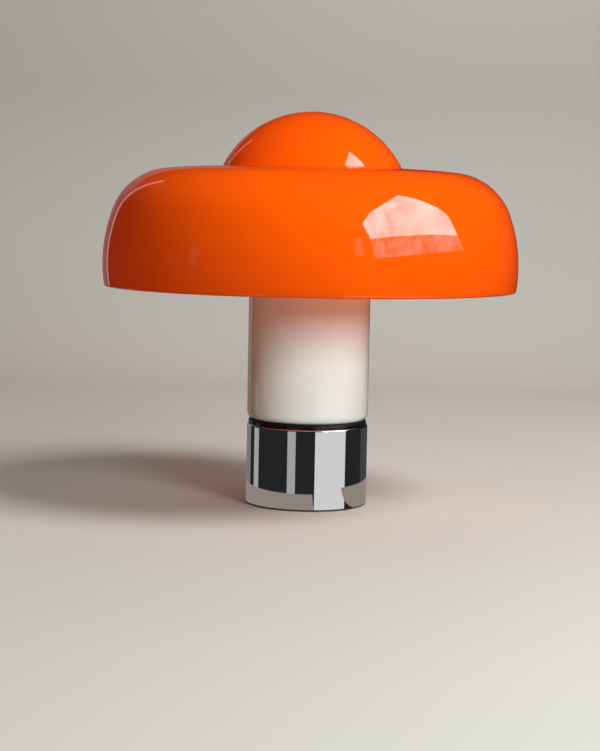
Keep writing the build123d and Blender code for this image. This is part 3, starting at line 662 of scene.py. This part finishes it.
def coated_metal(name, colour, roughness, peel=0.15, grain=500.0, metallic=0.0):
    """Paint, plating or bare metal: cloudy gloss and a fine skin texture."""
    material, tree, principled = shader(name, Metallic=metallic)
    cloud = noise(tree, 60.0, Detail=5.0)
    tone = toned(tree, cloud, 0.3, [0.86 * c for c in colour], 0.7, colour)
    tree.links.new(tone, principled.inputs["Base Color"])
    gloss = ranged(tree, cloud, roughness * 0.8, roughness * 1.25)
    tree.links.new(gloss, principled.inputs["Roughness"])
    relief(tree, principled, noise(tree, grain, Detail=3.0), peel, 0.0003)
    return material


zinc_plate = coated_metal("zinc_plate", (0.62, 0.62, 0.60), 0.34, 0.08, 900.0, 1.0)
dressed(coated_metal("black_paint", (0.030, 0.030, 0.031), 0.42), "bottom_plate")
dressed(zinc_plate, "plate_screws")

# ---- ballast, threaded_tube and their fastenings -----------------------------------------
# A cast iron weight sits on the plate. A hollow threaded tube stands in it between two nuts
# on washers and carries the lampholder. The earth terminal is screwed in beside it.

brass_metal = coated_metal("bright_brass", (0.78, 0.60, 0.27), 0.24, 0.05, 700.0, 1.0)
dressed(coated_metal("cast_iron_primer", (0.085, 0.085, 0.088), 0.68, 0.9, 260.0), "ballast")
dressed(zinc_plate, "threaded_tube", "tube_nuts", "tube_washers", "earth_washer")
dressed(brass_metal, "earth_screw")

# ---- inlet_bushing and inlet_nut -----------------------------------------------------------
# The lead comes in low at the back through a moulded black bushing. Its flange is rounded and
# fits the round of the base, its barrel is threaded, and a nut inside the cup holds it.


def wall_points(r, low, high, step):
    """Points up a straight wall of the section, close enough together to carry a thread."""
    count = ceil(abs(high - low) / step)
    return [(r, low + (high - low) * i / count) for i in range(count + 1)]


def cut_thread(thing, low, high, inner, outer, pitch, depth, sharp):
    """Sinks a screw thread into the walls of a turned piece between two heights (mm)."""
    for vertex in thing.data.vertices:
        x, y, z = (c / mm for c in vertex.co)
        r = hypot(x, y)
        if not (inner <= r <= outer and low <= z <= high):
            continue
        turn = (z / pitch - atan2(y, x) / (2 * pi)) % 1.0
        groove = (0.5 - 0.5 * cos(2 * pi * turn)) ** sharp
        ends = min(1.0, (z - low) / (0.6 * pitch), (high - z) / (0.6 * pitch))
        sink = 1.0 - depth * groove * max(0.0, ends) / r
        vertex.co.x, vertex.co.y = x * sink * mm, y * sink * mm
    thing.data.update()
    return thing


def joined(name, *things):
    """Several meshes as one object."""
    work = bmesh.new()
    for thing in things:
        work.from_mesh(thing.data)
    mesh = bpy.data.meshes.new(name)
    for material in things[0].data.materials:
        mesh.materials.append(material)
    work.to_mesh(mesh)
    work.free()
    for thing in things:
        bpy.data.objects.remove(thing)
    whole = bpy.data.objects.new(name, mesh)
    bpy.context.scene.collection.objects.link(whole)
    mesh.shade_smooth()
    mesh.set_sharp_from_angle(angle=radians(35.0))
    return whole


barrel = lathe("bushing_barrel", [(3.25, 52.99), (4.6, 52.99), (5.0, 53.4)]
               + wall_points(5.0, 53.6, 57.4, 0.25) + [(5.0, 58.6), (3.25, 58.6)],
               64, black_plastic)
barrel = turned_back(cut_thread(barrel, 53.6, 57.4, 4.5, 5.1, 1.0, 0.5, 0.7), INLET_Z)
flange = turned_back(lathe("bushing_flange", rounded([(3.25, 57.0), (7.5, 57.0), (7.5, 61.3, 1.1),
                                                      (3.25, 61.3, 0.8)], 15.0), 64, black_plastic),
                     INLET_Z)
round_of_base = lathe("round_of_base", [(0, 1.0), (BASE_R, 1.0), (BASE_R, 30), (0, 30)], 224)
flange = bored(flange, round_of_base)
bushing = joined("cord_bushing", barrel, flange)
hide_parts("inlet_bushing")
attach(bushing, "lamp")
dressed(black_plastic, "inlet_nut")

# ---- the lampholder: holder_cap, holder_core, holder_sleeve, screw_shell and contacts ------
# A black thermoset lampholder stands on the tube. Its sleeve has a coarse outer thread for the
# clamp ring, and its white ceramic core carries a rolled brass shell and two terminals.

SLEEVE_R, SLEEVE_TOP_Z, SHELL_R, SHELL_WALL = 20.0, 118.7, 13.5, 0.4
CORE_TOP_Z, SHELL_TOP_Z = 88.7, 114.7
LAMP_PITCH, LAMP_THREAD_DEPTH = 3.62, 1.0
sleeve_line = [(17.7, 65.7), (19.6, 65.7), (19.6, BASE_TOP_Z), (23.1, BASE_TOP_Z), (23.5, 78.1),
               (23.5, 79.8), (23.1, 80.2), (SLEEVE_R, 80.2)]
sleeve_line += wall_points(SLEEVE_R, 81.0, 117.4, 0.35)
sleeve_line += [(SLEEVE_R - 0.4, SLEEVE_TOP_Z - 0.4), (SLEEVE_R - 1.0, SLEEVE_TOP_Z),
                (15.7, SLEEVE_TOP_Z), (15.0, 118.4), (14.7, 117.7), (14.7, 115.7), (15.5, 115.7),
                (15.5, CORE_TOP_Z), (17.7, CORE_TOP_Z)]
sleeve = lathe("threaded_sleeve", sleeve_line, 128, black_plastic)
cut_thread(sleeve, 81.0, 117.4, 19.5, 20.1, 2.5, 0.8, 0.6)
shell_line = [(7.5, CORE_TOP_Z), (SHELL_R + SHELL_WALL - 0.4, CORE_TOP_Z)]
shell_line += wall_points(SHELL_R + SHELL_WALL, 89.4, 114.4, 0.45)
shell_line += [(SHELL_R + SHELL_WALL, SHELL_TOP_Z), (SHELL_R, SHELL_TOP_Z)]
shell_line += wall_points(SHELL_R, 114.4, 89.4, 0.45)
shell_line += [(SHELL_R - 0.3, CORE_TOP_Z + SHELL_WALL), (7.5, CORE_TOP_Z + SHELL_WALL)]
shell = lathe("rolled_shell", shell_line, 96, brass_metal)
cut_thread(shell, 89.4, 114.4, 13.4, 14.0, LAMP_PITCH, LAMP_THREAD_DEPTH, 1.0)
for piece, node, slot in ((sleeve, "holder_sleeve", "black_plastic"),
                          (shell, "screw_shell", "brass")):
    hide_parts(node)
    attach(piece, "lamp")
dressed(black_plastic, "holder_cap")
dressed(brass_metal, "terminal_screws", "centre_contact")
dressed(coated_metal("steatite", (0.86, 0.84, 0.78), 0.62, 0.35, 800.0), "holder_core")

# ---- clamp_ring and clamp_gasket -------------------------------------------------------------
# The black ring screws down the sleeve by its finger notches and presses the glass stem's
# floor on to the base through a washer of red pressed fibre.


def ring_tree():
    """Nodes that set copies of a piece round the lamp's axis, at even steps."""
    tree = bpy.data.node_groups.new("set_round_the_axis", "GeometryNodeTree")
    add, link = tree.nodes.new, tree.links.new
    for name, kind in (("Geometry", "Geometry"), ("Count", "Int"), ("First Angle", "Float"),
                       ("Material", "Material")):
        tree.interface.new_socket(name, in_out="INPUT", socket_type="NodeSocket" + kind)
    tree.interface.new_socket("Geometry", in_out="OUTPUT", socket_type="NodeSocketGeometry")
    given = add("NodeGroupInput").outputs
    spots = add("GeometryNodeMeshLine")
    link(given["Count"], spots.inputs["Count"])
    spots.inputs["Offset"].default_value = (0, 0, 0)
    number = add("GeometryNodeInputIndex")
    step = add("ShaderNodeMath")
    step.operation = "DIVIDE"
    step.inputs[0].default_value = 2 * pi
    link(given["Count"], step.inputs[1])
    angle = add("ShaderNodeMath")
    angle.operation = "MULTIPLY_ADD"
    link(number.outputs[0], angle.inputs[0])
    link(step.outputs[0], angle.inputs[1])
    link(given["First Angle"], angle.inputs[2])
    turn = add("ShaderNodeCombineXYZ")
    link(angle.outputs[0], turn.inputs["Z"])
    copies = add("GeometryNodeInstanceOnPoints")
    link(spots.outputs[0], copies.inputs["Points"])
    link(given["Geometry"], copies.inputs["Instance"])
    link(turn.outputs[0], copies.inputs["Rotation"])
    real = add("GeometryNodeRealizeInstances")
    link(copies.outputs[0], real.inputs[0])
    painted = add("GeometryNodeSetMaterial")
    link(real.outputs[0], painted.inputs["Geometry"])
    link(given["Material"], painted.inputs["Material"])
    link(painted.outputs[0], add("NodeGroupOutput").inputs[0])
    return tree


def set_round(name, one, count, first_degrees, material):
    """Copies of one piece, made along +X, spaced evenly round the lamp's axis."""
    mesh = one.data
    bpy.data.objects.remove(one)
    values = {"Count": count, "First Angle": radians(first_degrees), "Material": material}
    return facing_out(made_by_nodes(name, axis_tree, values, mesh))


axis_tree = ring_tree()
RING_Z, RING_FLANGE_Z, RING_TOP_Z = 87.4, 89.9, 97.4
ring = lathe("clamping_ring", rounded([(SLEEVE_R, RING_Z), (29.0, RING_Z, 0.5),
                                       (29.0, RING_FLANGE_Z, 0.8), (24.5, RING_FLANGE_Z, 0.8),
                                       (24.5, RING_TOP_Z, 0.8), (SLEEVE_R, RING_TOP_Z, 0.5)], 22.0),
             180, black_plastic)
notch = lathe("notch", [(0, 86.9), (2.0, 86.9), (2.0, 91.0), (0, 91.0)], 24, black_plastic)
notch.data.transform(Matrix.Translation((29.8 * mm, 0, 0)))
ring = facing_out(bored(ring, set_round("notches", notch, 12, 0.0, black_plastic)))
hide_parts("clamp_ring")
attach(ring, "lamp")


def pressed_fibre():
    """Red vulcanised fibre: paper layers, faintly mottled."""
    material, tree, principled = shader("pressed_fibre", Roughness=0.7)
    layers = noise(tree, 5.0, (180.0, 180.0, 2500.0), Detail=4.0)
    red = toned(tree, layers, 0.35, (0.30, 0.060, 0.040), 0.65, (0.46, 0.120, 0.080))
    tree.links.new(red, principled.inputs["Base Color"])
    return material


dressed(pressed_fibre(), "clamp_gasket")

# ---- rim_gasket --------------------------------------------------------------------------
# A milky silicone edging is pushed over the stem's ground top edge, so that metal never
# touches glass. Its outer lip is deep and its inner lip short.

HUB_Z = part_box("rim_gasket")[1][2] / mm


def milky_silicone():
    """Translucent white silicone: soft gloss, a hint of dust, light passing through it."""
    material, tree, principled = shader("milky_silicone", Roughness=0.46, IOR=1.41,
                                        Specular_IOR_Level=0.45)
    milk = toned(tree, noise(tree, 220.0, Detail=4.0), 0.3, (0.70, 0.70, 0.68),
                 0.7, (0.79, 0.79, 0.77))
    tree.links.new(milk, principled.inputs["Base Color"])
    lets_light_through(tree, principled, (0.80, 0.80, 0.76), 0.30)
    return material


silicone = milky_silicone()
edging = lathe("rim_edging", rounded([
    (53.5, HUB_Z, 0.4), (60.0, HUB_Z, 0.7), (60.0, HUB_Z - 6.5, 0.5), (STEM_R, HUB_Z - 6.5, 0.3),
    (STEM_R, STEM_TOP_Z, 1.0), (STEM_IN_R, STEM_TOP_Z, 1.0), (STEM_IN_R, STEM_TOP_Z - 2.5, 0.3),
    (53.5, STEM_TOP_Z - 2.5, 0.5)], 22.0), 192, silicone)
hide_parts("rim_gasket")
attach(edging, "lamp")

# ---- shade_carrier -------------------------------------------------------------------------
# A ring pressed from sheet steel with a deep skirt that drops into the stem, and three
# flanged arms that reach out under the crown of the shade. It is powder coated white.

dressed(coated_metal("white_powder_coat", (0.86, 0.86, 0.85), 0.40, 0.35, 1500.0), "shade_carrier")

# ---- carrier_clips and clip_rivets -----------------------------------------------------------
# Three bowed leaf springs press outwards on the inside of the glass stem and hold the carrier
# down. Each is fixed to the skirt by one domed aluminium rivet.

SKIRT_R, SKIRT_IN_R, CLIP_T, CLIP_HALF_W = 53.0, 51.5, 0.5, 5.0
CLIP_TOP_Z = HUB_Z - 9.0
BOW_R = sqrt(STEM_IN_R**2 - CLIP_HALF_W**2)
RIVET_Z = CLIP_TOP_Z - 3.25


def cut_from_sheet(name, outline, half_width, edge, material):
    """A piece of even width across the arm: its side outline (x, z), with softened edges."""
    points = [(x * mm, side * half_width * mm, z * mm) for side in (-1, 1) for x, z in outline]
    n = len(outline)
    faces = [tuple(range(n)), tuple(range(2 * n - 1, n - 1, -1))]
    faces += [(i, i + n, (i + 1) % n + n, (i + 1) % n) for i in range(n)]
    thing = mesh_object(name, points, faces, material)
    work = bmesh.new()
    work.from_mesh(thing.data)
    bmesh.ops.recalc_face_normals(work, faces=work.faces)
    ends = [e for e in work.edges
            if abs(e.verts[0].co.y - e.verts[1].co.y) < 1e-7 and len(e.link_faces) == 2]
    bmesh.ops.bevel(work, geom=ends, offset=edge * mm, segments=2, profile=0.5, affect="EDGES")
    work.to_mesh(thing.data)
    work.free()
    return facing_out(thing)


spring = coated_metal("spring_steel", (0.55, 0.56, 0.57), 0.26, 0.05, 1200.0, 1.0)
clip_out = SKIRT_R + CLIP_T
clip = cut_from_sheet("clip", rounded([
    (SKIRT_R, CLIP_TOP_Z), (clip_out, CLIP_TOP_Z), (clip_out, CLIP_TOP_Z - 5.85, 2.0),
    (BOW_R, CLIP_TOP_Z - 8.84, 1.6), (clip_out + 0.4, CLIP_TOP_Z - 13.0),
    (SKIRT_R + 0.4, CLIP_TOP_Z - 13.0), (BOW_R - CLIP_T, CLIP_TOP_Z - 8.84, 1.1),
    (SKIRT_R, CLIP_TOP_Z - 5.85, 2.5)], 15.0), CLIP_HALF_W, 0.12, spring)
clips = set_round("spring_clips", clip, 3, 30.0, spring)
aluminium = coated_metal("aluminium", (0.74, 0.74, 0.75), 0.30, 0.06, 1200.0, 1.0)
rivet_in = sqrt(SKIRT_IN_R**2 - 4.0)
rivet = lathe("rivet", [(0, rivet_in - 0.7), (1.1, rivet_in - 0.62), (1.7, rivet_in - 0.35),
                        (2.0, rivet_in), (1.2, rivet_in), (1.2, clip_out), (2.0, clip_out),
                        (1.8, clip_out + 0.35), (1.2, clip_out + 0.62), (0, clip_out + 0.7)],
              24, aluminium)
rivet.data.transform(Matrix.Translation((0, 0, RIVET_Z * mm)) @ Matrix.Rotation(pi / 2, 4, "Y"))
rivets = set_round("domed_rivets", rivet, 3, 30.0, aluminium)
for piece, node, slot in ((clips, "carrier_clips", "spring_steel"),
                          (rivets, "clip_rivets", "aluminium")):
    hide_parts(node)
    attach(piece, "lamp")

# ---- carrier_pads ----------------------------------------------------------------------------
# Soft silicone pads on the ends of the three arms. The shade's crown rests on them, the
# upstand centres the dome, and a stud pulled through the arm holds each pad.

ARM_TOP_Z, PAD_TOP_Z = HUB_Z + 1.5, HUB_Z + 4.5
PAD_OUTER_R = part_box("carrier_pads")[1][1] / mm
FINGER_TOP_Z = PAD_TOP_Z + 6.0
dome_bore = sqrt((DOME_R - SHADE_WALL) ** 2 - (FINGER_TOP_Z - dome_c[1]) ** 2)
FINGER_R = sqrt((dome_bore - 1.0) ** 2 - 9.0**2)
PAD_MID_R = (FINGER_R + PAD_OUTER_R) / 2
slab = cut_from_sheet("pad", rounded([
    (FINGER_R - 4.0, ARM_TOP_Z, 0.4), (PAD_OUTER_R, ARM_TOP_Z, 0.4), (PAD_OUTER_R, PAD_TOP_Z, 0.9),
    (FINGER_R, PAD_TOP_Z, 0.8), (FINGER_R, FINGER_TOP_Z, 1.2), (FINGER_R - 4.0, FINGER_TOP_Z, 1.4)],
    22.0), 9.0, 0.5, silicone)
stud = lathe("stud", [(0, HUB_Z - 1.2), (1.9, HUB_Z - 1.2), (2.9, HUB_Z - 0.5), (3.25, HUB_Z),
                      (2.0, HUB_Z), (2.0, ARM_TOP_Z + 0.3), (0, ARM_TOP_Z + 0.3)], 24, silicone)
stud.data.transform(Matrix.Translation((PAD_MID_R * mm, 0, 0)))
pads = set_round("silicone_pads", joined("one_pad", slab, stud), 3, 90.0, silicone)
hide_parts("carrier_pads")
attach(pads, "lamp")

# ---- the bulb: bulb_contact, bulb_insulator and bulb_cap ---------------------------------------
# The foot of an E27 bulb: a tinned contact in a black glassy insulator, and a nickel plated
# cap with a rolled thread, staked to the plastic body by a row of small dimples.

CAP_R, CAP_Z, BODY_Z, JOINT_Z, BALL_R, BALL_Z = 13.2, 95.8, 118.3, 158.3, 30.0, 170.1
nickel = coated_metal("nickel_plate", (0.70, 0.69, 0.66), 0.22, 0.04, 800.0, 1.0)
cap_line = [(0, CAP_Z), (CAP_R - 2.2, CAP_Z), (CAP_R - 1.2, CAP_Z + 0.3),
            (CAP_R - 1.0, CAP_Z + 0.9)]
cap_line += wall_points(CAP_R, CAP_Z + 1.4, BODY_Z - 4.2, 0.45) + [(CAP_R, BODY_Z)]
cap_line += [(CAP_R - 0.4, BODY_Z)] + wall_points(CAP_R - 0.4, BODY_Z - 4.2, CAP_Z + 1.6, 0.45)
cap_line += [(CAP_R - 1.5, CAP_Z + 0.8), (0, CAP_Z + 0.4)]
cap = lathe("rolled_cap", cap_line, 96, nickel)
cut_thread(cap, CAP_Z + 1.4, BODY_Z - 4.2, 12.7, 13.3, LAMP_PITCH, LAMP_THREAD_DEPTH, 1.0)
stake = lathe("stake", [(0, 12.95), (0.45, 13.0), (0.6, 13.19), (0.35, 13.32), (0, 13.35)],
              12, nickel)
STAKE_Z = BODY_Z - 2.2
stake.data.transform(Matrix.Translation((0, 0, STAKE_Z * mm)) @ Matrix.Rotation(pi / 2, 4, "Y"))
cap = joined("bulb_screw_cap", cap, set_round("stakes", stake, 12, 0.0, nickel))
insulator = lathe("cap_glass", rounded([(0, 93.1), (5.4, 93.1, 0.5), (12.0, 95.8), (0, 95.8)],
                                       20.0), 64, black_moulding("black_cap_glass", 0.12))
contact = lathe("cap_contact", rounded([(0, 92.1), (2.9, 92.1, 1.2), (4.8, 92.7, 0.3), (4.8, 93.1),
                                        (0, 93.1)], 15.0), 48,
                coated_metal("tinned_contact", (0.65, 0.65, 0.63), 0.30, 0.25, 500.0, 1.0))

# ---- bulb_body, led_board and bulb_diffuser -----------------------------------------------------
# A white plastic body flares up to a pale opal dome. Between them, unseen through the dome,
# lies a white lacquered aluminium board with a ring of yellow chips.

JOINT_R = sqrt(BALL_R**2 - (BALL_Z - JOINT_Z) ** 2)


def smooth_through(points, parts):
    """Points on an even curve through the given (r, z) points."""
    ends = [points[0]] + points + [points[-1]]
    line = []
    for before, a, b, after in zip(ends, ends[1:], ends[2:], ends[3:]):
        for k in range(parts):
            t = k / parts
            line.append(tuple(0.5 * (2 * a[i] + (b[i] - before[i]) * t
                                     + (2 * before[i] - 5 * a[i] + 4 * b[i] - after[i]) * t * t
                                     + (3 * a[i] - before[i] - 3 * b[i] + after[i]) * t**3)
                              for i in (0, 1)))
    return line + [points[-1]]


flank = smooth_through([(CAP_R + 0.5, BODY_Z), (CAP_R + 2.5, BODY_Z + 12.0),
                        (JOINT_R - 1.6, BODY_Z + 34.0), (JOINT_R, JOINT_Z - 0.4)], 10)
body_line = [(CAP_R - 0.4, BODY_Z - 6.0), (CAP_R - 0.4, BODY_Z)] + flank
body_line += [(JOINT_R - 0.35, JOINT_Z), (JOINT_R - 1.5, JOINT_Z)]
body_line += [(r - 1.5, z) for r, z in flank[-4:0:-1]] + [(0, BODY_Z + 1.5), (0, BODY_Z - 6.0)]
ball_from = -degrees(asin((BALL_Z - JOINT_Z) / BALL_R))
ball_in_from = -degrees(asin((BALL_Z - JOINT_Z) / (BALL_R - 1.5)))
opal_line = [(JOINT_R - 0.3, JOINT_Z)]
opal_line += [off((0, BALL_Z), BALL_R, ball_from + 0.8 + (89.2 - ball_from) * k / 36)
              for k in range(36)]
opal_line += [(0, BALL_Z + BALL_R), (0, BALL_Z + BALL_R - 1.5)]
opal_line += [off((0, BALL_Z), BALL_R - 1.5, 90 - (90 - ball_in_from) * k / 24)
              for k in range(1, 25)]


def lamp_plastic(name, colour, roughness, passing):
    """White lamp plastic: a faint moulded texture, and some light passing through."""
    material, tree, principled = shader(name, Roughness=roughness)
    tone = toned(tree, noise(tree, 45.0), 0.3, [0.95 * c for c in colour], 0.7, colour)
    tree.links.new(tone, principled.inputs["Base Color"])
    relief(tree, principled, noise(tree, 1500.0), 0.10, 0.0002)
    if passing:
        lets_light_through(tree, principled, colour, passing)
    return material


def lacquered_board():
    """White lacquer, and yellow phosphor on whatever stands above the board's face."""
    material, tree, principled = shader("lacquered_board", Roughness=0.5)
    axes = new_node(tree, "SeparateXYZ")
    tree.links.new(new_node(tree, "TexCoord").outputs["Object"], axes.inputs[0])
    above = ranged(tree, axes.outputs["Z"], 0.0, 1.0, (JOINT_Z + 0.45) * mm, (JOINT_Z + 0.60) * mm)
    lacquer = toned(tree, noise(tree, 300.0), 0.0, (0.78, 0.78, 0.77), 1.0, (0.88, 0.88, 0.87))
    colour = new_node(tree, "Mix")
    colour.data_type = "RGBA"
    colour.inputs[7].default_value = (0.82, 0.62, 0.06, 1)
    for source, target in ((above, colour.inputs[0]), (lacquer, colour.inputs[6]),
                           (colour.outputs[2], principled.inputs["Base Color"])):
        tree.links.new(source, target)
    return material


body = lathe("bulb_housing", body_line, 128,
             lamp_plastic("white_lamp_plastic", (0.86, 0.86, 0.86), 0.42, 0))
globe = lathe("bulb_globe", opal_line, 128,
              lamp_plastic("opal_lamp_plastic", (0.90, 0.90, 0.89), 0.35, 0.35))
dressed(lacquered_board(), "led_board")
for piece, node, slot in ((cap, "bulb_cap", "nickel"),
                          (insulator, "bulb_insulator", "bulb_insulator"),
                          (contact, "bulb_contact", "bulb_contact"),
                          (body, "bulb_body", "white_plastic"),
                          (globe, "bulb_diffuser", "bulb_opal")):
    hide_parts(node)
    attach(piece, "bulb")
